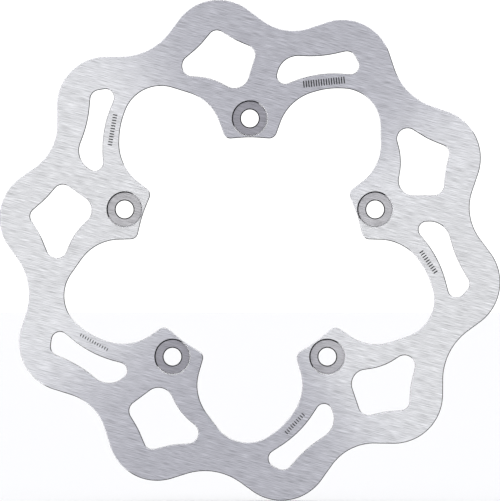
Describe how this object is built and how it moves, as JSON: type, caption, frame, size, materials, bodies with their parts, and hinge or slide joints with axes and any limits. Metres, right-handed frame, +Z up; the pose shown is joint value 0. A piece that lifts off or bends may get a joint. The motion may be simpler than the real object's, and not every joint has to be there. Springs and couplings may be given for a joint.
{
  "type": "brake disc",
  "caption": "Flat one-piece wave brake disc with curved cut-outs and counterbored bolt lugs round a central hub opening.",
  "frame": {"origin": "centre of the hub opening and of the bolt circle, halfway through the plate's thickness", "axes": "the disc stands on edge as it does on the wheel: +Y is the spin axis and points out of the back face, towards the hub; the counterbored outer face looks along -Y; +Z is up, through the middle of the first lug; +X is to the right as the outer face is seen"},
  "size_m": [0.2376, 0.004, 0.2376],
  "materials": {
    "disc_steel": "straight-ground satin, with laser-cut edges"
  },
  "bodies": {
    "root": {"brake_disc": "disc_steel"}
  },
  "joints": []
}
